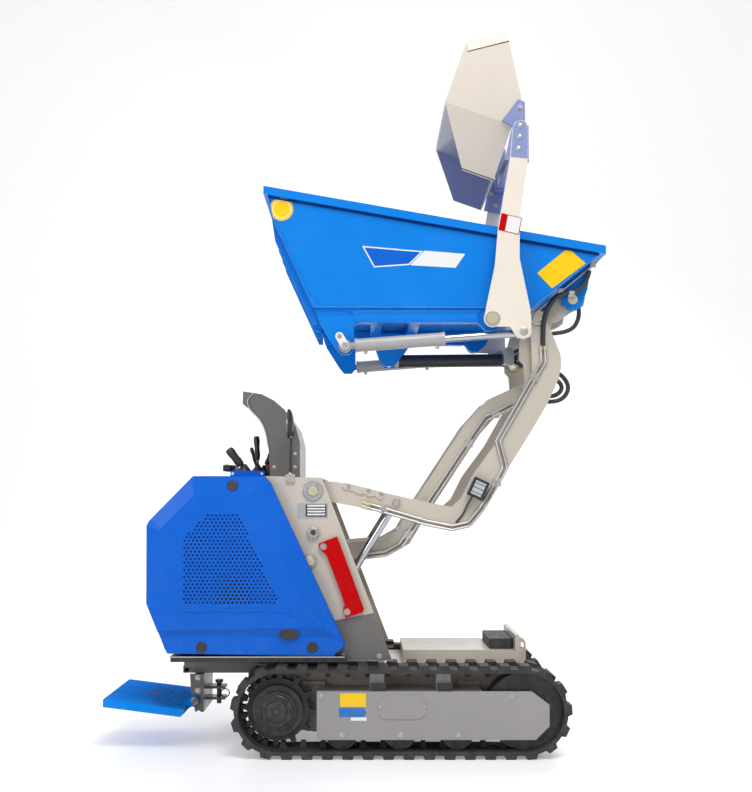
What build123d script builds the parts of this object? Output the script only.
"""Tracked high-tip mini dumper with a self-loading shovel.

Millimetres, +X towards the front, +Y to the machine's left, +Z up.
The origin is on the ground, under the middle of the machine's box.
It is drawn with the skip raised on its parallel links and the loader folded up.
"""

import os
from math import atan2, cos, degrees, hypot, pi, radians, sin

from build123d import *

# ---------------------------------------------------------------- driving sizes

SIDES = (("right", -1), ("left", 1))

# tracks
TRACK_OUT_Y = 400.0        # outer face of each belt
TRACK_WIDTH = 180.0
GRIP_RADIUS = 165.0        # tips of the shoes, round sprocket and idler
SHOE_HEIGHT = 14.0
BELT_THICK = 14.0
GUIDE_HEIGHT = 22.0        # drive lugs inside the belt
GUIDE_WIDTH = 36.0
LINK_COUNT = 37
SPROCKET_X = -275.0
IDLER_X = 608.0
TOOTH_COUNT = 12
RUN_GAP = 0.3              # between the belt and what it runs on

# track frames
FRAME_OUT_Y = 385.0
FRAME_IN_Y = 235.0
FRAME_PLATE = 8.0
FRAME_TOP_Z = 238.0
FRAME_LOW_Z = 67.0
FRAME_REAR_X = -133.0
ROLLER_RADIUS = 57.7
ROLLER_XS = (-44.0, 163.5, 369.0)
SLIDE_XS = (81.0, 319.0)

# chassis
CHASSIS_HALF = 205.0
CHASSIS_LOW_Z = 190.0
CHASSIS_TOP_Z = 310.0
CHASSIS_REAR_X = -362.0
CHASSIS_FRONT_X = 598.0
DECK_TOP_Z = 360.0

# link tower
TOWER_OUT_Y = 306.0
TOWER_PLATE = 8.0
TOWER_FOOT_Z = 336.0
TOWER_TOP_Z = 1005.0
TOWER_REAR_X = -324.0

# pivots of the parallel lift (x, z)
UPPER_PIVOT = (-152.0, 951.0)
LOWER_PIVOT = (-164.0, 696.0)
CARRIAGE_PIVOT = (674.0, 1589.0)
LOWER_END = (CARRIAGE_PIVOT[0] + LOWER_PIVOT[0] - UPPER_PIVOT[0],
             CARRIAGE_PIVOT[1] + LOWER_PIVOT[1] - UPPER_PIVOT[1])
TIP_PIVOT = (809.0, 1660.0)
TIP_CYL_BASE = (650.0, 1465.0)
TIP_CYL_EYE = (133.0, 1460.0)
LIFT_CYL_BASE = (-180.0, 372.0)
LIFT_CYL_EYE = (152.0, 907.0)
LOADER_PIVOT = (497.0, 1569.5)
LOADER_CYL_BASE = (-34.0, 1474.0)
LOADER_CYL_EYE = (608.0, 1522.0)
PLATFORM_PIVOT = (-600.0, 165.0)

PIN_RADIUS = 18.0
PIN_FIT = 0.05             # radial, pins that carry a turning piece
OPEN_FIT = 0.4             # radial, the pivot where the loop of links is opened
MOVE_GAP = 6.0             # sideways, between pieces that pass each other

# lanes across the machine, as (inner, outer) distances from the middle
ARM_LANE = (250.0, 280.0)
CARRIAGE_LANE = (228.0, ARM_LANE[0] - MOVE_GAP)
LINK_LANE = (135.0, 165.0)
LIFT_CYL_Y = 212.0
SKIP_HALF = 330.0
LOADER_LANE = (390.0, 400.0)
LOADER_CYL_Y = 360.0
SHOVEL_HALF = 300.0

# hood
HOOD_HALF = 352.0
HOOD_WALL = 4.0
COVER_GAP = 0.3
COVER_THICK = 7.0

SKIP_WALL = 4.0
SHOVEL_WALL = 5.0

PITCH_RADIUS = GRIP_RADIUS - SHOE_HEIGHT - BELT_THICK / 2
BELT_IN = GRIP_RADIUS - SHOE_HEIGHT - BELT_THICK
BELT_OUT = GRIP_RADIUS - SHOE_HEIGHT
AXLE_Z = GRIP_RADIUS
TRACK_MID = TRACK_OUT_Y - TRACK_WIDTH / 2
GUIDE_TIP = BELT_IN - GUIDE_HEIGHT

os.makedirs("parts", exist_ok=True)


# ---------------------------------------------------------------- shared helpers

def save(builder, name):
    """Label a finished piece and write it."""
    builder.part.label = name
    export_step(builder.part, f"parts/{name}.step")


def upright(y):
    """Sketch plane across the machine at y: local x is X, local y is Z."""
    return Plane(origin=(0, y, 0), x_dir=(1, 0, 0), z_dir=(0, -1, 0))


def lane(side, inner, outer):
    """Low and high Y of a strip that lies inner to outer from the middle, on one side."""
    return tuple(sorted((side * inner, side * outer)))


def slab(points, low, high, mode=Mode.ADD, rounding=0.0):
    """A plate of a side-view outline, from Y low to Y high."""
    with BuildSketch(upright(high)) as face:
        with BuildLine():
            Polyline(*points, close=True)
        make_face()
        if rounding:
            fillet(face.vertices(), rounding)
    extrude(face.sketch, amount=high - low, mode=mode)


def disc(centre, radius, low, high, mode=Mode.ADD, sides=0):
    """A bar or hole along Y: round, or many-sided where nothing turns on it."""
    with BuildSketch(upright(high)) as face:
        with Locations(Location(centre)):
            round_face(radius, sides)
    extrude(face.sketch, amount=high - low, mode=mode)


def round_face(radius, sides):
    """A circle, or an even polygon."""
    return RegularPolygon(radius, sides) if sides else Circle(radius)


def block(xs, ys, zs, mode=Mode.ADD):
    """A straight block from its low and high corners."""
    middle = [(a + b) / 2 for a, b in (xs, ys, zs)]
    with Locations(Location(middle)):
        Box(xs[1] - xs[0], ys[1] - ys[0], zs[1] - zs[0], mode=mode)


def rod_between(start, end, y, radius, mode=Mode.ADD, sides=0):
    """A bar at one Y from one side-view point to another."""
    along = Vector(end[0] - start[0], 0, end[1] - start[1])
    plane = Plane(origin=(start[0], y, start[1]), x_dir=(0, 1, 0), z_dir=along)
    with BuildSketch(plane) as face:
        round_face(radius, sides)
    extrude(face.sketch, amount=along.length, mode=mode)


def towards(start, end, distance):
    """The point that lies a distance from start on the line to end."""
    reach = hypot(end[0] - start[0], end[1] - start[1])
    return tuple(a + (b - a) * distance / reach for a, b in zip(start, end))


def pipe(points, y, radius, bend):
    """A bent steel pipe or a hose at one Y, through side-view points, drawn with eight sides."""
    with BuildLine() as path:
        FilletPolyline(*((x, y, z) for x, z in points), radius=bend)
    with BuildSketch(Plane(origin=path.line @ 0, x_dir=(0, 1, 0), z_dir=path.line % 0)) as face:
        RegularPolygon(radius, 8)
    sweep(face.sketch, path=path.line)


def bent_bar(line, width):
    """Outline of a bar of one width that follows a bent line, with mitred corners."""
    high, low = [], []
    for before, here, after in zip((line[0], *line), line, (*line[1:], line[-1])):
        turns = [atan2(b[1] - a[1], b[0] - a[0]) for a, b in ((before, here), (here, after)) if a != b]
        normal = sum(turns) / len(turns) + pi / 2
        reach = width / 2 / cos((turns[-1] - turns[0]) / 2)
        high.append((here[0] + reach * cos(normal), here[1] + reach * sin(normal)))
        low.append((here[0] - reach * cos(normal), here[1] - reach * sin(normal)))
    return (*high, *reversed(low))


# ---------------------------------------------------------------- tracks

def loop_place(distance):
    """Where a link lies on the pitch line, with its back pointing out of the loop."""
    run = IDLER_X - SPROCKET_X
    bend = pi * PITCH_RADIUS
    distance %= 2 * (run + bend)
    if distance < run:
        return Location((SPROCKET_X + distance, AXLE_Z - PITCH_RADIUS), 180)
    distance -= run
    if distance < bend:
        turn = distance / PITCH_RADIUS - pi / 2
        spot = (IDLER_X + PITCH_RADIUS * cos(turn), AXLE_Z + PITCH_RADIUS * sin(turn))
        return Location(spot, degrees(turn) - 90)
    distance -= bend
    if distance < run:
        return Location((IDLER_X - distance, AXLE_Z + PITCH_RADIUS), 0)
    turn = (distance - run) / PITCH_RADIUS + pi / 2
    spot = (SPROCKET_X + PITCH_RADIUS * cos(turn), AXLE_Z + PITCH_RADIUS * sin(turn))
    return Location(spot, degrees(turn) - 90)


LINK_PITCH = 2 * (IDLER_X - SPROCKET_X + pi * PITCH_RADIUS) / LINK_COUNT
SHOE_BASE = LINK_PITCH * 0.62
SHOE_TIP = LINK_PITCH * 0.46
GUIDE_BASE = 26.0
GUIDE_END = 16.0


def belt_face(y, shift, inner=False):
    """Belt outline with one row of shoes, or with the guide lugs inside it."""
    half = BELT_THICK / 2
    sink = 1.0
    if inner:
        lug = [(-GUIDE_BASE / 2, -half + sink), (GUIDE_BASE / 2, -half + sink),
               (GUIDE_END / 2, -half - GUIDE_HEIGHT), (-GUIDE_END / 2, -half - GUIDE_HEIGHT)]
    else:
        lug = [(-SHOE_BASE / 2, half - sink), (SHOE_BASE / 2, half - sink),
               (SHOE_TIP / 2, half + SHOE_HEIGHT), (-SHOE_TIP / 2, half + SHOE_HEIGHT)]
    places = [loop_place((link + shift) * LINK_PITCH) for link in range(LINK_COUNT)]
    with BuildSketch(upright(y)) as face:
        with Locations(Location(((SPROCKET_X + IDLER_X) / 2, AXLE_Z))):
            SlotCenterToCenter(IDLER_X - SPROCKET_X, 2 * BELT_OUT)
            SlotCenterToCenter(IDLER_X - SPROCKET_X, 2 * BELT_IN, mode=Mode.SUBTRACT)
        with Locations(*places):
            Polygon(*lug, align=None)
        with Locations(Location(((SPROCKET_X + IDLER_X) / 2, -SHOE_HEIGHT))):
            Rectangle(2 * (IDLER_X - SPROCKET_X), 2 * SHOE_HEIGHT, mode=Mode.SUBTRACT)
    return face.sketch


def make_track(name, side):
    low, high = lane(side, TRACK_OUT_Y - TRACK_WIDTH, TRACK_OUT_Y)
    middle = (low + high) / 2
    with BuildPart() as track:
        extrude(belt_face(high, 0.0), amount=(TRACK_WIDTH - GUIDE_WIDTH) / 2)
        extrude(belt_face(middle + GUIDE_WIDTH / 2, 0.25, inner=True), amount=GUIDE_WIDTH)
        extrude(belt_face(middle - GUIDE_WIDTH / 2, 0.5), amount=(TRACK_WIDTH - GUIDE_WIDTH) / 2)
    save(track, f"track_{name}")


SPROCKET_ROOT = GUIDE_TIP - 3.0
SPROCKET_HALF = GUIDE_WIDTH / 2
TOOTH_FOOT = 11.0          # half a tooth's width
TOOTH_END = 6.0
HUB_STEPS = (  # radius, start and end outwards from the middle of the track
    (90.0, SPROCKET_HALF, 44.0),
    (68.0, 44.0, 58.0),
    (43.0, 58.0, 70.0),
)


def tooth_turn():
    """Turn, in degrees, of the gap between guide lugs that is nearest the sprocket's rear."""
    rear = 2 * (IDLER_X - SPROCKET_X) + 1.5 * pi * PITCH_RADIUS
    gap = (round(rear / LINK_PITCH - 0.75) + 0.75) * LINK_PITCH
    return 180 + degrees((gap - rear) / PITCH_RADIUS)


def make_sprocket(name, side):
    centre = (SPROCKET_X, AXLE_Z)
    with BuildPart() as sprocket:
        with BuildSketch(upright(side * TRACK_MID + SPROCKET_HALF)) as face:
            with Locations(Location(centre)):
                RegularPolygon(SPROCKET_ROOT, 3 * TOOTH_COUNT)
                with PolarLocations(0, TOOTH_COUNT, start_angle=tooth_turn()):
                    Polygon((SPROCKET_ROOT - 4, -TOOTH_FOOT), (BELT_IN - 4, -TOOTH_END),
                            (BELT_IN - 4, TOOTH_END), (SPROCKET_ROOT - 4, TOOTH_FOOT), align=None)
        extrude(face.sketch, amount=2 * SPROCKET_HALF)
        for radius, start, end in HUB_STEPS:
            disc(centre, radius, *lane(side, TRACK_MID + start, TRACK_MID + end), sides=36)
        disc(centre, HUB_STEPS[1][0], *lane(side, FRAME_IN_Y + FRAME_PLATE, TRACK_MID - SPROCKET_HALF),
             sides=24)
    save(sprocket, f"sprocket_{name}")


FLANGES = ((22.0, 50.0), (-50.0, -22.0))   # wheels either side of the guide lugs


def make_idler(name, side):
    centre = (IDLER_X, AXLE_Z)
    with BuildPart() as idler:
        for inner, outer in FLANGES:
            disc(centre, BELT_IN - RUN_GAP, *lane(side, TRACK_MID + inner, TRACK_MID + outer), sides=48)
        disc(centre, 62, *lane(side, FRAME_IN_Y + FRAME_PLATE, FRAME_OUT_Y - FRAME_PLATE), sides=24)
    save(idler, f"idler_{name}")


def make_rollers(name, side):
    with BuildPart() as rollers:
        for x in ROLLER_XS:
            centre = (x, AXLE_Z - BELT_IN + ROLLER_RADIUS + RUN_GAP)
            for inner, outer in FLANGES:
                disc(centre, ROLLER_RADIUS, *lane(side, TRACK_MID + inner, TRACK_MID + outer), sides=28)
            disc(centre, 24, *lane(side, FRAME_IN_Y + FRAME_PLATE, FRAME_OUT_Y - FRAME_PLATE), sides=12)
    save(rollers, f"rollers_{name}")


NOSE = ((632.0, FRAME_TOP_Z), (694.0, 191.0), (694.0, 115.0), (645.0, FRAME_LOW_Z))
MOTOR_TAIL_X = -345.0
COVER_OUTLINE = ((84, 200), (104, 222), (236, 222), (256, 200), (256, 163), (236, 141),
                 (104, 141), (84, 163))
CROSS_XS = (-150.0, 420.0)
CROSS_SIZE = (80.0, 60.0)
CROSS_Z = 220.0


def make_track_frame(name, side):
    outline = [(FRAME_REAR_X, FRAME_TOP_Z), *NOSE, (FRAME_REAR_X, FRAME_LOW_Z)]
    inner_outline = [(MOTOR_TAIL_X + 25, FRAME_TOP_Z), *NOSE, (FRAME_REAR_X, FRAME_LOW_Z),
                     (MOTOR_TAIL_X + 25, FRAME_LOW_Z + 25), (MOTOR_TAIL_X, 125), (MOTOR_TAIL_X, 205)]
    lids = lane(side, FRAME_IN_Y + FRAME_PLATE, FRAME_OUT_Y - FRAME_PLATE)
    with BuildPart() as frame:
        slab(outline, *lane(side, FRAME_OUT_Y - FRAME_PLATE, FRAME_OUT_Y))
        slab(inner_outline, *lane(side, FRAME_IN_Y, FRAME_IN_Y + FRAME_PLATE))
        block((FRAME_REAR_X, 455), lids, (FRAME_TOP_Z - FRAME_PLATE, FRAME_TOP_Z))
        block((FRAME_REAR_X, FRAME_REAR_X + FRAME_PLATE), lids, (FRAME_LOW_Z, FRAME_TOP_Z - FRAME_PLATE))
        slab(COVER_OUTLINE, *lane(side, FRAME_OUT_Y, FRAME_OUT_Y + 3))
        for x in SLIDE_XS:
            for inner, outer in ((22, 46), (-46, -22)):
                block((x - 26, x + 26), lane(side, TRACK_MID + inner, TRACK_MID + outer),
                      (FRAME_TOP_Z, AXLE_Z + BELT_IN - RUN_GAP))
    save(frame, f"track_frame_{name}")


# ---------------------------------------------------------------- chassis

REAR_ARM = ((-652.0, CHASSIS_REAR_X), (60.0, 100.0), (262.0, 289.0))
REAR_PLATE_XS = (-605.0, -579.0)
HITCH_ZS = (150.0, 192.0)
PLATFORM_PIN = 9.0
TIE_PLACE = (633.0, 362.0)
TIE_BORE = 14.0
TIE_LANE = (60.0, 84.0)
TIE_LUG = ((CHASSIS_FRONT_X + 15, 295), (651, 295), (651, 375), (640, 392), (CHASSIS_FRONT_X + 15, 392))
CYL_PIN = 12.0
LIFT_EAR = 12.0
LIFT_EAR_GAP = 14.0        # from the cylinder's middle to its ears


def make_chassis():
    sides = (-CHASSIS_HALF, CHASSIS_HALF)
    with BuildPart() as chassis:
        block((CHASSIS_REAR_X, CHASSIS_FRONT_X), sides, (CHASSIS_LOW_Z, CHASSIS_TOP_Z))
        for x in CROSS_XS:
            for side in (-1, 1):
                block((x - CROSS_SIZE[0] / 2, x + CROSS_SIZE[0] / 2), lane(side, CHASSIS_HALF, FRAME_IN_Y),
                      (CROSS_Z - CROSS_SIZE[1] / 2, CROSS_Z + CROSS_SIZE[1] / 2))
        block((TOWER_REAR_X, 110), sides, (CHASSIS_TOP_Z, TOWER_FOOT_Z))
        block((180, 505), (-190, 190), (CHASSIS_TOP_Z, DECK_TOP_Z))
        block((505, CHASSIS_FRONT_X), (-190, 190), (CHASSIS_TOP_Z, PAD_LOW_Z))
        block((CHASSIS_FRONT_X, CHASSIS_FRONT_X + 15), (-190, 190), (297, 415))
        for side in (-1, 1):
            slab(TIE_LUG, *lane(side, *TIE_LANE))
        disc(TIE_PLACE, TIE_BORE, -TIE_LANE[1] - 1, TIE_LANE[1] + 1, mode=Mode.SUBTRACT)
        for middle in (-LIFT_CYL_Y, LIFT_CYL_Y):
            for low in (middle - LIFT_EAR_GAP - LIFT_EAR, middle + LIFT_EAR_GAP):
                slab(LIFT_EARS, low, low + LIFT_EAR)
            disc(LIFT_CYL_BASE, CYL_PIN, middle - LIFT_EAR_GAP - LIFT_EAR - 4,
                 middle + LIFT_EAR_GAP + LIFT_EAR + 4)
    save(chassis, "chassis_frame")


PAD_LOW_Z = 357.0
PAD_HIGH_Z = 396.0
LIFT_EARS = ((-230, TOWER_FOOT_Z), (-130, TOWER_FOOT_Z), (-162, LIFT_CYL_BASE[1] + 20),
             (-198, LIFT_CYL_BASE[1] + 20))


def make_pad():
    with BuildPart() as pad:
        with BuildSketch(Plane.XY.offset(PAD_LOW_Z)) as face:
            with Locations((551, 0)):
                RectangleRounded(90, 280, 12)
        extrude(face.sketch, amount=PAD_HIGH_Z - PAD_LOW_Z)
    save(pad, "rest_pad")


TRAY_XS = (-661.0, -27.0)
TRAY_TOP_Z = 357.0


def make_tray():
    with BuildPart() as tray:
        block(TRAY_XS, (-345, 345), (TOWER_FOOT_Z, TRAY_TOP_Z))
        block((TOWER_REAR_X - 1, TRAY_XS[1] + 1), (-TOWER_OUT_Y - 1, TOWER_OUT_Y + 1),
              (TOWER_FOOT_Z - 1, TRAY_TOP_Z + 1), mode=Mode.SUBTRACT)
    save(tray, "engine_tray")


TOWER_SIDE = ((TOWER_REAR_X, TOWER_TOP_Z), (-119.0, 999.0), (137.0, TOWER_FOOT_Z),
              (TOWER_REAR_X, TOWER_FOOT_Z))
LOCK_BOSS = (-150.0, 799.0)
LOCK_BORE = 10.5
LOCK_NUT = 10.0


def make_tower_plate(name, side):
    low, high = lane(side, TOWER_OUT_Y - TOWER_PLATE, TOWER_OUT_Y)
    with BuildPart() as plate:
        slab(TOWER_SIDE, low, high)
        for pivot, washer in ((UPPER_PIVOT, 36), (LOWER_PIVOT, 28)):
            disc(pivot, washer, *lane(side, TOWER_OUT_Y, TOWER_OUT_Y + 3), sides=32)
        with BuildSketch(upright(lane(side, TOWER_OUT_Y, TOWER_OUT_Y + LOCK_NUT)[1])) as nut:
            with Locations(Location(LOCK_BOSS)):
                RegularPolygon(24, 6)
        extrude(nut.sketch, amount=LOCK_NUT)
        disc(LOCK_BOSS, LOCK_BORE, *lane(side, TOWER_OUT_Y - TOWER_PLATE - 5, TOWER_OUT_Y + 20),
             mode=Mode.SUBTRACT)
        for pivot in (UPPER_PIVOT, LOWER_PIVOT):
            disc(pivot, PIN_RADIUS, low - 5, high + 5, mode=Mode.SUBTRACT)
    save(plate, f"tower_plate_{name}")


def make_tower_back():
    inside = (-TOWER_OUT_Y + TOWER_PLATE, TOWER_OUT_Y - TOWER_PLATE)
    with BuildPart() as back:
        block((TOWER_REAR_X, TOWER_REAR_X + 6), inside, (TOWER_FOOT_Z, TOWER_TOP_Z - 6))
        slab(((TOWER_REAR_X, TOWER_TOP_Z), (-119, 999), (-117, 993), (TOWER_REAR_X, TOWER_TOP_Z - 6)),
             *inside)
    save(back, "tower_back")


def make_link_pins():
    with BuildPart() as pins:
        for pivot in (UPPER_PIVOT, LOWER_PIVOT):
            disc(pivot, PIN_RADIUS, -TOWER_OUT_Y - 8, TOWER_OUT_Y + 8)
    save(pins, "link_pins")


SAFETY_BAR = ((-131, 759), (-63, 786), (35, 523), (30, 512), (-33, 491), (-42, 519), (-35, 537),
              (-49, 580), (-101, 717), (-126, 738))


def make_safety_bar():
    with BuildPart() as bar:
        slab(SAFETY_BAR, *lane(-1, TOWER_OUT_Y + 10, TOWER_OUT_Y + 16))
        for spot in ((-113, 748), (-27, 513)):
            disc(spot, 11, *lane(-1, TOWER_OUT_Y, TOWER_OUT_Y + 10), sides=12)
            disc(spot, 9, *lane(-1, TOWER_OUT_Y + 16, TOWER_OUT_Y + 21), sides=6)
    save(bar, "safety_bar")


def make_rear_bracket():
    low, high = REAR_ARM[2]
    pivot_x, pivot_z = PLATFORM_PIVOT
    with BuildPart() as bracket:
        for side in (-1, 1):
            block(REAR_ARM[0], lane(side, *REAR_ARM[1]), REAR_ARM[2])
            slab(((pivot_x - 14, pivot_z - 22), (pivot_x + 21, 120), (REAR_PLATE_XS[1] + 10, 120),
                  (REAR_PLATE_XS[1] + 10, low), (pivot_x - 22, low)), *lane(side, 120, 130))
        block((TRAY_XS[0] + 20, CHASSIS_REAR_X), (-150, 150), (high, TOWER_FOOT_Z))
        for x in REAR_PLATE_XS:
            block((x, x + 10), (-120, 120), (120, low))
        for z in HITCH_ZS:
            block((REAR_PLATE_XS[1] + 10, -500), (-35, 35), (z, z + 10))
        disc(PLATFORM_PIVOT, PLATFORM_PIN, -168, 168)
        with Locations(Location((-527, 0, (HITCH_ZS[0] + HITCH_ZS[1]) / 2))):
            Cylinder(9, 80)
            with Locations(Location((0, 0, 46))):
                Cylinder(15, 12)
    save(bracket, "rear_bracket")


# ---------------------------------------------------------------- engine bay

HOOD_OUTLINE = ((-582, 1004), (-326, 1004), (-302, 978), (-33, 402), (-43, 384), (-78, TRAY_TOP_Z),
                (-671, TRAY_TOP_Z + 10), (-681, 385), (-746, 546), (-747, 830), (-740, 843),
                (-588, 999))


def hood_ring(low, high, depth):
    """The hood's outline as a hollow frame, one depth wide."""
    with BuildSketch(upright(high)) as ring:
        with BuildLine():
            Polyline(*HOOD_OUTLINE, close=True)
        make_face()
        offset(amount=-depth, kind=Kind.INTERSECTION, mode=Mode.REPLACE)
    slab(HOOD_OUTLINE, low, high)
    extrude(ring.sketch, amount=high - low, mode=Mode.SUBTRACT)


def make_hood():
    with BuildPart() as hood:
        hood_ring(-HOOD_HALF, HOOD_HALF, HOOD_WALL)
        block((TOWER_REAR_X - 0.5, 0), (-TOWER_OUT_Y - 12, TOWER_OUT_Y + 12), (350, 1010),
              mode=Mode.SUBTRACT)
        block((-660, 0), (-HOOD_HALF, HOOD_HALF), (TRAY_TOP_Z - 1, TRAY_TOP_Z + 16), mode=Mode.SUBTRACT)
    with BuildPart() as rims:
        for side in (-1, 1):
            hood_ring(*lane(side, HOOD_HALF - HOOD_WALL, HOOD_HALF), 24)
    with BuildPart() as whole:
        add(hood.part)
        add(rims.part)
    save(whole, "hood")


GRILLE = ((-536, 864), (-409, 864), (-267, 547), (-612, 547), (-619, 781))
CREASE = ((-575, 936), (-368, 936), (-209, 605), (-154, 491), (-154, 460), (-661, 460), (-733, 543),
          (-699, 812))
KNOBS = ((-439, 969), (-548, 390), (-150, 390))
GRILLE_PITCH = 38.0


def make_side_cover(name, side):
    inner = HOOD_HALF + COVER_GAP
    with BuildPart() as cover:
        slab(HOOD_OUTLINE, *lane(side, inner, inner + 4))
        slab(CREASE, *lane(side, inner + 4, inner + COVER_THICK))
        for spot in KNOBS:
            disc(spot, 20, *lane(side, inner + 4, inner + 19), sides=20)
        with BuildSketch(upright(lane(side, inner, inner + 20)[1])) as holes:
            with Locations(*grille_spots()):
                RegularPolygon(GRILLE_PITCH * 0.36, 6)
        extrude(holes.sketch, amount=20, mode=Mode.SUBTRACT)
        with BuildSketch(upright(lane(side, inner, inner + 20)[1])) as oval:
            with Locations((-233, 438)):
                SlotOverall(74, 38)
        extrude(oval.sketch, amount=20, mode=Mode.SUBTRACT)
    save(cover, f"side_cover_{name}")


def inside_outline(x, z, outline, margin):
    """Whether a point lies inside a convex outline by a margin."""
    for (ax, az), (bx, bz) in zip(outline, outline[1:] + outline[:1]):
        length = hypot(bx - ax, bz - az)
        if ((bx - ax) * (z - az) - (bz - az) * (x - ax)) / length > -margin:
            return False
    return True


def grille_spots():
    """Centres of the grille's holes, in a staggered pattern."""
    spots = []
    for row in range(12):
        for column in range(14):
            x = -612 + (column + 0.5 * (row % 2)) * GRILLE_PITCH
            z = 560 + row * GRILLE_PITCH * 0.866
            if inside_outline(x, z, GRILLE, GRILLE_PITCH * 0.3):
                spots.append((x, z))
    return spots


ENGINE_HALF = HOOD_HALF - 142.0
FAN_PLACE = (-431.0, 572.0)
FAN_RADIUS = 68.0


def make_engine():
    with BuildPart() as engine:
        block((-640, -350), (-ENGINE_HALF, ENGINE_HALF), (TRAY_TOP_Z, 830))
        disc(FAN_PLACE, FAN_RADIUS, -HOOD_HALF + 12, -ENGINE_HALF, sides=24)
        block((-600, -420), (-ENGINE_HALF + 50, ENGINE_HALF - 50), (830, 930))
    save(engine, "engine_block")


# ---------------------------------------------------------------- operator's place

HOOD_TOP_Z = 1004.0
CONSOLE_TOP_Z = 1028.0


def make_console():
    with BuildPart() as console:
        block((-471, -341), (-150, 150), (HOOD_TOP_Z, CONSOLE_TOP_Z))
        block((-508, -464), (-60, 60), (CONSOLE_TOP_Z, 1050))
    save(console, "console")


LEVERS = (  # foot x, foot z, top x, top z, y, radius
    (-424, 1034, -485, 1112, -95, 9),
    (-376, 1034, -383, 1164, -40, 7),
    (-385, 1034, -409, 1123, 20, 7),
    (-363, 1034, -332, 1103, 75, 7),
)


def make_levers():
    with BuildPart() as levers:
        for foot_x, foot_z, top_x, top_z, y, radius in LEVERS:
            with BuildSketch(Plane.XY.offset(CONSOLE_TOP_Z)) as gaiter:
                with Locations((foot_x, y)):
                    RegularPolygon(radius + 6, 12)
            extrude(gaiter.sketch, amount=12)
            rod_between((foot_x, foot_z), (top_x, top_z), y, radius * 0.55, sides=8)
            grip = towards((top_x, top_z), (foot_x, foot_z), 45)
            rod_between(grip, (top_x, top_z), y, radius, sides=10)
    save(levers, "levers")


GUARD_BACK = ((-418, 1323), (-349, 1313), (-302, 1289), (-265, 1257), (-221, 1192), (-205, 1132),
              (-204, TOWER_TOP_Z))
GUARD_OPEN = ((-316, TOWER_TOP_Z), (-322, 1113), (-333, 1170), (-347, 1208), (-384, 1248), (-419, 1276))
GUARD_HALF = 215.0
GUARD_SHEET = 4.0


def make_guard():
    inner = GUARD_HALF - GUARD_SHEET
    hollow = [(x - GUARD_SHEET, z - GUARD_SHEET) for x, z in GUARD_BACK]
    with BuildPart() as guard:
        slab((*GUARD_BACK, *GUARD_OPEN), -GUARD_HALF, GUARD_HALF)
        slab((*hollow, (-450, hollow[-1][1]), (-450, hollow[0][1])), -inner, inner, mode=Mode.SUBTRACT)
    save(guard, "control_guard")


MIRROR_Y = -285.0


def make_mirror():
    with BuildPart() as mirror:
        with BuildSketch(Plane(origin=(-246, MIRROR_Y, 1198), x_dir=(0, 1, 0), z_dir=(1, 0, 0))) as glass:
            Ellipse(42, 55)
        extrude(glass.sketch, amount=22)
        rod_between((-235, 1010), (-235, 1150), MIRROR_Y, 5, sides=8)
        block((-250, -220), (MIRROR_Y - 14, MIRROR_Y + 14), (TOWER_TOP_Z - 1.5, 1012))
    save(mirror, "mirror")


PLATFORM_HALF = 245.0


def make_platform():
    with BuildPart() as platform:
        slab(((-924, 186), (-924, 158), (-640, 122), (-625, 135), (-625, 149)),
             -PLATFORM_HALF, PLATFORM_HALF)
        slab(((-919, 177), (-919, 150), (-640, 115), (-630, 128), (-630, 141)),
             -PLATFORM_HALF + 5, PLATFORM_HALF - 5, mode=Mode.SUBTRACT)
        for side in (-1, 1):
            slab(((-650, 150), (-650, 125), (-612, 143), (-584, 158), (-584, 172), (-596, 184), (-612, 180)),
                 *lane(side, 140, 152))
            disc(PLATFORM_PIVOT, PLATFORM_PIN + PIN_FIT, *lane(side, 138, 154), mode=Mode.SUBTRACT)
    save(platform, "platform")


# ---------------------------------------------------------------- lift

ARM_OUTLINE = (
    (-109, 987), (-66, 984), (114, 943), (278, 907), (359, 893), (391, 921), (437, 1012),
    (528, 1135), (656, 1360), (651, 1515), (645, 1575), (674, 1618), (716, 1563), (739, 1508),
    (760, 1453), (762, 1407), (750, 1359), (708, 1268), (640, 1155), (565, 1035), (529, 985),
    (472, 879), (423, 823), (366, 808), (296, 826), (178, 851), (95, 872), (25, 889), (-85, 910),
    (-152, 912))


HOSE_GUARD = ((-40, 982), (98, 948), (109, 937), (104, 921), (88, 921), (76, 933), (52, 929), (40, 940),
              (12, 939), (-2, 950), (-38, 956), (-46, 968))
LINK_HUB = 30.0


def make_lift_arm(name, side):
    low, high = lane(side, *ARM_LANE)
    hub = lane(side, ARM_LANE[1], TOWER_OUT_Y - TOWER_PLATE - MOVE_GAP)
    with BuildPart() as arm:
        slab(ARM_OUTLINE, low, high)
        disc(UPPER_PIVOT, LINK_HUB, *hub, sides=24)
        if side < 0:
            slab(HOSE_GUARD, *lane(side, ARM_LANE[1], ARM_LANE[1] + 5))
        disc(UPPER_PIVOT, 40, low, high, sides=36)
        disc(CARRIAGE_PIVOT, 33, low, high, sides=36)
        disc(LIFT_CYL_EYE, 20, *lane(side, ARM_LANE[1], ARM_LANE[1] + 4), sides=24)
        disc(LIFT_CYL_EYE, 20, *lane(side, ARM_LANE[0] - 3, ARM_LANE[0]), sides=24)
        disc(UPPER_PIVOT, PIN_RADIUS + PIN_FIT, min(low, hub[0]) - 1, max(high, hub[1]) + 1,
             mode=Mode.SUBTRACT)
        disc(CARRIAGE_PIVOT, PIN_RADIUS + PIN_FIT, low - 1, high + 1, mode=Mode.SUBTRACT)
    save(arm, f"lift_arm_{name}")


def make_lift_tube():
    inner = ARM_LANE[0]
    with BuildPart() as tube:
        disc(UPPER_PIVOT, 30, -inner, inner, sides=24)
        disc(UPPER_PIVOT, PIN_RADIUS + PIN_FIT, -inner - 1, inner + 1, mode=Mode.SUBTRACT)
    save(tube, "lift_arm_tube")


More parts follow.
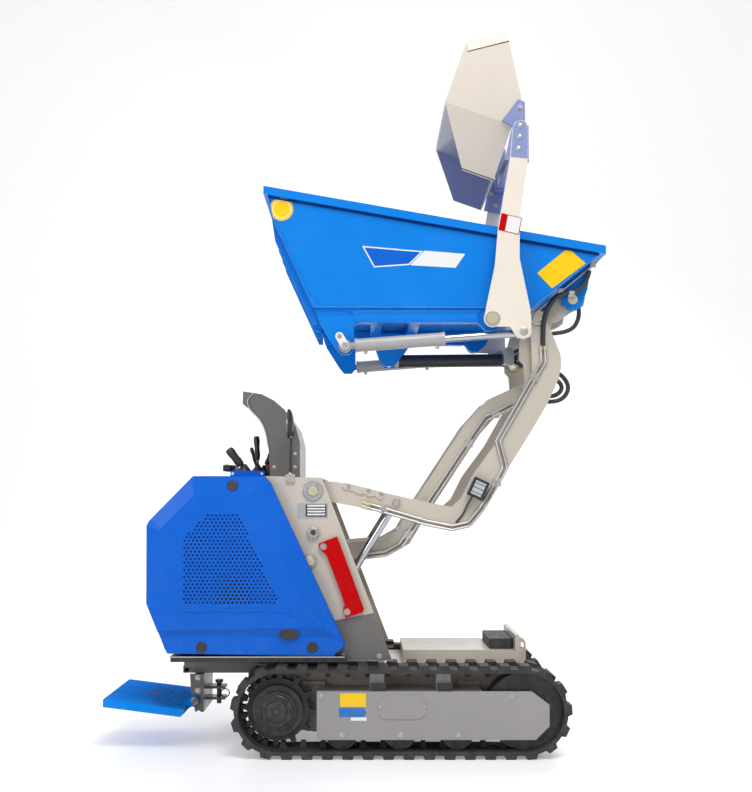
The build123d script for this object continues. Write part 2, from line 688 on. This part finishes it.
LINK_LINE = (LOWER_PIVOT, (-20.0, 727.0), (110.0, 738.0), (182.0, 778.0), (225.0, 850.0),
             (445.0, 1185.0), (520.0, 1268.0), LOWER_END)
LINK_DEPTH = 66.0
LINK_TUBES = ((182.0, 792.0), (330.0, 1010.0))


def make_lower_link(name, side):
    low, high = lane(side, *LINK_LANE)
    tower_end = lane(side, LINK_LANE[0], TOWER_OUT_Y - TOWER_PLATE - MOVE_GAP)
    carriage_end = lane(side, LINK_LANE[0], CARRIAGE_LANE[0] - MOVE_GAP)
    with BuildPart() as link:
        slab(bent_bar(LINK_LINE, LINK_DEPTH), low, high)
        for pivot, hub in ((LOWER_PIVOT, tower_end), (LOWER_END, carriage_end)):
            disc(pivot, LINK_DEPTH / 2, low, high, sides=36)
            disc(pivot, LINK_HUB, *hub, sides=24)
        disc(LOWER_PIVOT, PIN_RADIUS + PIN_FIT, tower_end[0] - 1, tower_end[1] + 1, mode=Mode.SUBTRACT)
        disc(LOWER_END, PIN_RADIUS + OPEN_FIT, carriage_end[0] - 1, carriage_end[1] + 1, mode=Mode.SUBTRACT)
    save(link, f"lower_link_{name}")


def make_link_tubes():
    inner = LINK_LANE[0]
    with BuildPart() as tubes:
        for spot in LINK_TUBES:
            disc(spot, 24, -inner, inner, sides=16)
        disc(LOWER_PIVOT, LINK_HUB, -inner, inner, sides=24)
        disc(LOWER_PIVOT, PIN_RADIUS + PIN_FIT, -inner - 1, inner + 1, mode=Mode.SUBTRACT)
    save(tubes, "lower_link_tubes")


PIPE_RADIUS = 5.0
PIPE_GAP = 15.0            # between the two pipes of a pair
ARM_PIPE_LINE = ((30, 903), (266, 834), (357, 816), (420, 830), (466, 886), (536, 1005), (552, 1036),
                 (527, 1135), (655, 1358), (696, 1425), (694, 1488))
ARM_CLAMPS = ((106, 884), (522, 982), (662, 1370))
LINK_PIPE_LINE = ((20, 706), (114, 716), (172, 748), (214, 806), (445, 1152), (496, 1224), (596, 1274))
LINK_CLAMPS = ((200, 787), (430, 1130), (530, 1241))
CLAMP_HALF = 15.0


def pipe_pair(line, clamps, face):
    """Two steel pipes side by side, held by clamps against a plate's face on the right side."""
    route = bent_bar(line, PIPE_GAP)
    with BuildPart() as pipes:
        for one in (route[:len(line)], route[len(line):]):
            pipe(one, -face - PIPE_RADIUS - 1, PIPE_RADIUS, 22)
        for x, z in clamps:
            block((x - CLAMP_HALF, x + CLAMP_HALF), lane(-1, face, face + 2 * PIPE_RADIUS),
                  (z - CLAMP_HALF, z + CLAMP_HALF))
    return pipes


def make_pipes():
    save(pipe_pair(ARM_PIPE_LINE, ARM_CLAMPS, ARM_LANE[1]), "arm_pipes")
    save(pipe_pair(LINK_PIPE_LINE, LINK_CLAMPS, LINK_LANE[1]), "link_pipes")


LAMP_PLACE = (451.0, 959.0)
LAMP_TILT = -25.0
LAMP_SIZE = (58.0, 70.0)
LAMP_LANE = (ARM_LANE[1] + 8.0, ARM_LANE[1] + 46.0)


def make_work_lamp():
    with BuildPart() as lamp:
        for start, end, rim, mode in ((*LAMP_LANE, 0, Mode.ADD),
                                      (LAMP_LANE[1] - 6, LAMP_LANE[1] + 1, 8, Mode.SUBTRACT),
                                      (ARM_LANE[1], LAMP_LANE[0], 20, Mode.ADD)):
            low, high = lane(-1, start, end)
            with BuildSketch(upright(high)) as face:
                with Locations(Location(LAMP_PLACE, LAMP_TILT)):
                    Rectangle(LAMP_SIZE[0] - 2 * rim, LAMP_SIZE[1] - 2 * rim)
            extrude(face.sketch, amount=high - low, mode=mode)
    save(lamp, "work_lamp")


CARRIAGE_OUTLINE = (
    (640, 1300), (686, 1298), (704, 1345), (716, 1450), (722, 1530), (735, 1575), (770, 1590),
    (800, 1612), (852, 1640), (858, 1668), (840, 1694), (800, 1700), (766, 1690), (735, 1640),
    (712, 1625), (640, 1600), (612, 1500), (612, 1440), (628, 1420))


def make_carriage(name, side):
    low, high = lane(side, *CARRIAGE_LANE)
    with BuildPart() as plate:
        slab(CARRIAGE_OUTLINE, low, high)
        disc(LOWER_END, 36, low, high, sides=36)
        disc(TIP_PIVOT, 40, low, high, sides=36)
        for pivot in (CARRIAGE_PIVOT, LOWER_END, TIP_PIVOT, TIP_CYL_BASE):
            disc(pivot, PIN_RADIUS, low - 1, high + 1, mode=Mode.SUBTRACT)
    save(plate, f"carriage_{name}")


PIN_HEAD = 26.0


def make_carriage_shafts():
    inner, outer = CARRIAGE_LANE
    with BuildPart() as shafts:
        for side in (-1, 1):
            disc(CARRIAGE_PIVOT, PIN_RADIUS, *lane(side, inner - 4, ARM_LANE[1] + 6))
            disc(CARRIAGE_PIVOT, PIN_HEAD, *lane(side, inner - 8, inner), sides=24)
            disc(CARRIAGE_PIVOT, PIN_HEAD, *lane(side, ARM_LANE[1] + 2, ARM_LANE[1] + 6), sides=24)
            disc(TIP_CYL_BASE, PIN_HEAD, *lane(side, TIP_BASE_WIDTH / 2 + MOVE_GAP, inner), sides=24)
        for pivot, reach in ((LOWER_END, outer), (TIP_CYL_BASE, outer), (TIP_PIVOT, SKIP_EAR_LANE[1] + 4)):
            disc(pivot, PIN_RADIUS, -reach, reach)
    save(shafts, "carriage_shafts")


TIP_BASE_WIDTH = 60.0

HOSE_RADIUS = 8.0
HOSES = (  # side-view points of each hose along the right carriage plate's inner face
    ((690, 1402), (762, 1398), (806, 1340), (772, 1284), (684, 1284)),
    ((692, 1378), (748, 1374), (780, 1338), (752, 1304), (696, 1304)),
    ((836, 1662), (842, 1600), (812, 1548), (712, 1536)),
)


def make_carriage_hoses():
    with BuildPart() as hoses:
        for points in HOSES:
            pipe(points, HOSE_RADIUS - CARRIAGE_LANE[0], HOSE_RADIUS, 30)
    save(hoses, "carriage_hoses")
SKIP_EAR_LANE = (ARM_LANE[0], ARM_LANE[0] + 14)


def cylinder_pair(name, ends, y, barrel_sizes, rod_sizes):
    """A hydraulic barrel and its rod, between its base and eye points at one Y.

    barrel_sizes: radius, start and end along the line, then the base eye's radius, width and pin.
    rod_sizes: radius, inner end and length of the piston, then the eye's radius and width.
    """
    base, eye = ends
    radius, first, last, base_radius, base_width, base_pin = barrel_sizes
    rod_radius, piston, piston_length, eye_radius, eye_width = rod_sizes
    reach = hypot(eye[0] - base[0], eye[1] - base[1])

    def stretch(start, end, bar_radius, mode=Mode.ADD, sides=0):
        rod_between(towards(base, eye, start), towards(base, eye, end), y, bar_radius, mode, sides)

    with BuildPart() as barrel:
        stretch(first, last, radius, sides=32)
        stretch(last - GLAND, last, radius + 2, sides=32)
        stretch(first, first + BARREL_END, radius + 2, sides=32)
        stretch(0, first, base_radius / 2, sides=16)
        disc(base, base_radius, y - base_width / 2, y + base_width / 2, sides=24)
        stretch(first + BARREL_END, last - GLAND, rod_radius + 4, Mode.SUBTRACT, sides=24)
        stretch(last - GLAND - 1, last + 1, rod_radius + PIN_FIT, Mode.SUBTRACT)
        disc(base, base_pin + PIN_FIT, y - base_width, y + base_width, mode=Mode.SUBTRACT)
    save(barrel, f"{name[0]}_barrel{name[1]}")
    with BuildPart() as rod:
        stretch(piston, reach - eye_radius / 2, rod_radius)
        stretch(piston, piston + piston_length, rod_radius + 3, sides=24)
        disc(eye, eye_radius, y - eye_width / 2, y + eye_width / 2, sides=24)
    save(rod, f"{name[0]}_rod{name[1]}")


GLAND = 16.0
BARREL_END = 9.0
SKIP_OUTLINE = ((-320, 2064), (-321, 2036), (-306, 1957), (-152, 1623), (478, 1621), (640, 1612),
                (892, 1815), (904, 1848))
RIM_OUT = 14.0
RIM_HEIGHT = 30.0


def make_skip():
    (rear_x, rear_z), (front_x, front_z) = SKIP_OUTLINE[0], SKIP_OUTLINE[-1]
    slope = (rear_z - front_z) / (front_x - rear_x)
    rim_ends = ((rear_x - RIM_OUT, rear_z + slope * RIM_OUT), (front_x + RIM_OUT, front_z - slope * RIM_OUT))
    with BuildPart() as skip:
        slab(SKIP_OUTLINE, -SKIP_HALF, SKIP_HALF)
        mouth = skip.faces().sort_by(lambda face: face.normal_at().Z)[-1]
        offset(amount=-SKIP_WALL, openings=mouth, kind=Kind.INTERSECTION)
    with BuildPart() as rim:
        slab((*rim_ends, (rim_ends[1][0], rim_ends[1][1] - RIM_HEIGHT),
              (rim_ends[0][0], rim_ends[0][1] - RIM_HEIGHT)), -SKIP_HALF - RIM_OUT, SKIP_HALF + RIM_OUT)
        slab((*SKIP_OUTLINE, (front_x, front_z + 400), (rear_x, rear_z + 400)), -SKIP_HALF, SKIP_HALF,
             mode=Mode.SUBTRACT)
    with BuildPart() as whole:
        add(skip.part)
        add(rim.part)
    save(whole, "skip")


def under_front(x, below=0.0):
    """A point on the skip's front wall at x, or straight below it."""
    (ax, az), (bx, bz) = SKIP_OUTLINE[5], SKIP_OUTLINE[6]
    return (x, az + (bz - az) * (x - ax) / (bx - ax) - below)


RAIL_LANE = (300.0, 326.0)
TIP_EAR_LANE = (32.0, 44.0)
RAIL_Z = (1563.0, 1620.0)
RAIL_OUTLINE = ((-150, RAIL_Z[1]), (478, RAIL_Z[1]), (540, 1617), (560, 1600), (540, 1560), (510, 1535),
                (480, 1535), (452, RAIL_Z[0]), (-120, RAIL_Z[0]), (-136, 1593))
BRACKET_LANE = (331.0, 341.0)
BRACKET_OUTLINE = ((-136, 1590), (-122, 1552), (-70, 1470), (-50, 1446), (-18, 1446), (-2, 1465),
                   (-2, 1552), (20, RAIL_Z[0]), (20, 1590))
LOADER_PIN = 20.0
TIP_CROSS_XS = ((60.0, 100.0), (200.0, 240.0))


def make_skip_rails():
    ledge_top = RAIL_Z[0] + 5
    with BuildPart() as rails:
        for side in (-1, 1):
            slab(RAIL_OUTLINE, *lane(side, *RAIL_LANE))
            block((0, 448), lane(side, RAIL_LANE[1], RAIL_LANE[1] + 19), (RAIL_Z[0], ledge_top))
            slab(BRACKET_OUTLINE, *lane(side, *BRACKET_LANE))
            block((-30, 20), lane(side, RAIL_LANE[1], BRACKET_LANE[0]), (ledge_top, 1590))
            disc(LOADER_CYL_BASE, CYL_PIN, *lane(side, BRACKET_LANE[1], LOADER_CYL_Y + 20))
            disc(LOADER_PIVOT, LOADER_PIN, *lane(side, RAIL_LANE[1], LOADER_LANE[1] + 6))
    save(rails, "skip_rails")


def make_skip_cross():
    with BuildPart() as cross:
        for xs in TIP_CROSS_XS:
            block(xs, (-RAIL_LANE[0], RAIL_LANE[0]), RAIL_Z)
        for side in (-1, 1):
            slab(((TIP_CROSS_XS[0][0], RAIL_Z[0]), (TIP_CROSS_XS[1][1], RAIL_Z[0]), (165, 1452),
                  (150, 1436), (116, 1436), (100, 1452)), *lane(side, *TIP_EAR_LANE))
    save(cross, "skip_cross")


def make_skip_ears():
    with BuildPart() as ears:
        for side in (-1, 1):
            slab((under_front(760), under_front(880), (864, 1700), (842, 1634), (822, 1622), (796, 1622),
                  (772, 1640)), *lane(side, *SKIP_EAR_LANE))
            disc(TIP_PIVOT, PIN_RADIUS + PIN_FIT, *lane(side, SKIP_EAR_LANE[0] - 1, SKIP_EAR_LANE[1] + 1),
                 mode=Mode.SUBTRACT)
    save(ears, "skip_ears")


# ---------------------------------------------------------------- loader

LOADER_OUTLINE = ((563, 2154), (518, 1898), (506, 1762), (472, 1601), (466, 1569), (480, 1543),
                  (510, 1541), (560, 1540), (585, 1500), (608, 1494), (632, 1504), (637, 1522), (633, 1602),
                  (595, 1788), (597, 1939), (620, 2100), (628, 2154), (628, 2262), (622, 2285), (602, 2293),
                  (582, 2284), (572, 2262))


def make_loader_arm(name, side):
    low, high = lane(side, *LOADER_LANE)
    with BuildPart() as arm:
        slab(LOADER_OUTLINE, low, high)
        disc(LOADER_PIVOT, 31, low, high, sides=36)
        disc(LOADER_PIVOT, LOADER_PIN + PIN_FIT, low - 1, high + 1, mode=Mode.SUBTRACT)
        disc(LOADER_CYL_EYE, 24, *lane(side, LOADER_LANE[1], LOADER_LANE[1] + 4), sides=24)
    save(arm, f"loader_arm_{name}")


SHOVEL_SIDE = ((414, 2615), (566, 2654), (619, 2406), (584, 2304), (335, 2393))
CHUTE_LOW = ((404, 2155), (520, 2113.5))
CHUTE_HALF = 230.0


def chute_section(edge, half, open_end, wall_end, lift):
    """A cross-section of the chute: the fold or the bottom edge, moved in from the walls."""
    left, right = towards(edge[0], edge[1], -open_end), towards(edge[1], edge[0], wall_end)
    along = Vector(right[0] - left[0], 0, right[1] - left[1])
    across = along.cross(Vector(0, 1, 0)).normalized()
    middle = Vector((left[0] + right[0]) / 2, 0, (left[1] + right[1]) / 2) + across * lift
    with BuildSketch(Plane(origin=middle, x_dir=along, z_dir=across)) as section:
        Rectangle(along.length, 2 * half)
    return section.sketch


def make_shovel():
    fold = (SHOVEL_SIDE[4], SHOVEL_SIDE[3])
    wall = SHOVEL_WALL
    with BuildPart() as shovel:
        slab(SHOVEL_SIDE, -SHOVEL_HALF, SHOVEL_HALF)
        loft(sections=[chute_section(fold, SHOVEL_HALF, 0, 0, 0),
                       chute_section(CHUTE_LOW, CHUTE_HALF, 0, 0, 0)], ruled=True)
        with BuildSketch(upright(SHOVEL_HALF - wall)) as inside:
            with BuildLine():
                Polyline(*SHOVEL_SIDE, close=True)
            make_face()
            offset(amount=-wall, kind=Kind.INTERSECTION, mode=Mode.REPLACE)
            Polygon((560, 2650), (560, 2710), (290, 2710), (290, 2390), (346, 2395), (420, 2600), align=None)
        extrude(inside.sketch, amount=2 * (SHOVEL_HALF - wall), mode=Mode.SUBTRACT)
        loft(sections=[chute_section(fold, SHOVEL_HALF - wall, 30, wall * 1.06, -wall - 3),
                       chute_section(CHUTE_LOW, CHUTE_HALF - wall, 30, wall * 1.06, -wall)],
             ruled=True, mode=Mode.SUBTRACT)
    save(shovel, "shovel")


CARRIER = ((545, 2150), (632, 2140), (632, 2275), (600, 2292), (572, 2270))


def make_carrier():
    with BuildPart() as carrier:
        for side in (-1, 1):
            slab(CARRIER, *lane(side, LOADER_LANE[0] - 10, LOADER_LANE[0]))
            slab(((545, 2320), (605, 2400), (630, 2390), (632, 2222), (590, 2222), (582, 2300)),
                 *lane(side, SHOVEL_HALF, SHOVEL_HALF + 8))
        block((592, 628), (-LOADER_LANE[0] + 10, LOADER_LANE[0] - 10), (2225, 2265))
    save(carrier, "shovel_carrier")


def main():
    for name, side in SIDES:
        make_track(name, side)
        make_sprocket(name, side)
        make_idler(name, side)
        make_rollers(name, side)
        make_track_frame(name, side)
        make_side_cover(name, side)
        make_tower_plate(name, side)
        make_lift_arm(name, side)
        make_lower_link(name, side)
        make_carriage(name, side)
        make_loader_arm(name, side)
        cylinder_pair(("lift", f"_{name}"), (LIFT_CYL_BASE, LIFT_CYL_EYE), side * LIFT_CYL_Y,
                      (25, 28, 336, 24, 22, CYL_PIN), (15, 304, 13, 22, 36))
        cylinder_pair(("loader", f"_{name}"), (LOADER_CYL_BASE, LOADER_CYL_EYE), side * LOADER_CYL_Y,
                      (24, 36, 363, 24, 22, CYL_PIN), (14, 252, 20, 22, 30))
    cylinder_pair(("tip", ""), (TIP_CYL_BASE, TIP_CYL_EYE), 0,
                  (25, 64, 480, 30, TIP_BASE_WIDTH, PIN_RADIUS), (15, 90, 20, 22, 50))
    make_chassis()
    make_pad()
    make_tray()
    make_tower_back()
    make_link_pins()
    make_safety_bar()
    make_rear_bracket()
    make_hood()
    make_engine()
    make_console()
    make_levers()
    make_guard()
    make_mirror()
    make_platform()
    make_lift_tube()
    make_link_tubes()
    make_pipes()
    make_work_lamp()
    make_carriage_shafts()
    make_carriage_hoses()
    make_skip()
    make_skip_rails()
    make_skip_cross()
    make_skip_ears()
    make_shovel()
    make_carrier()


if __name__ == "__main__":
    main()
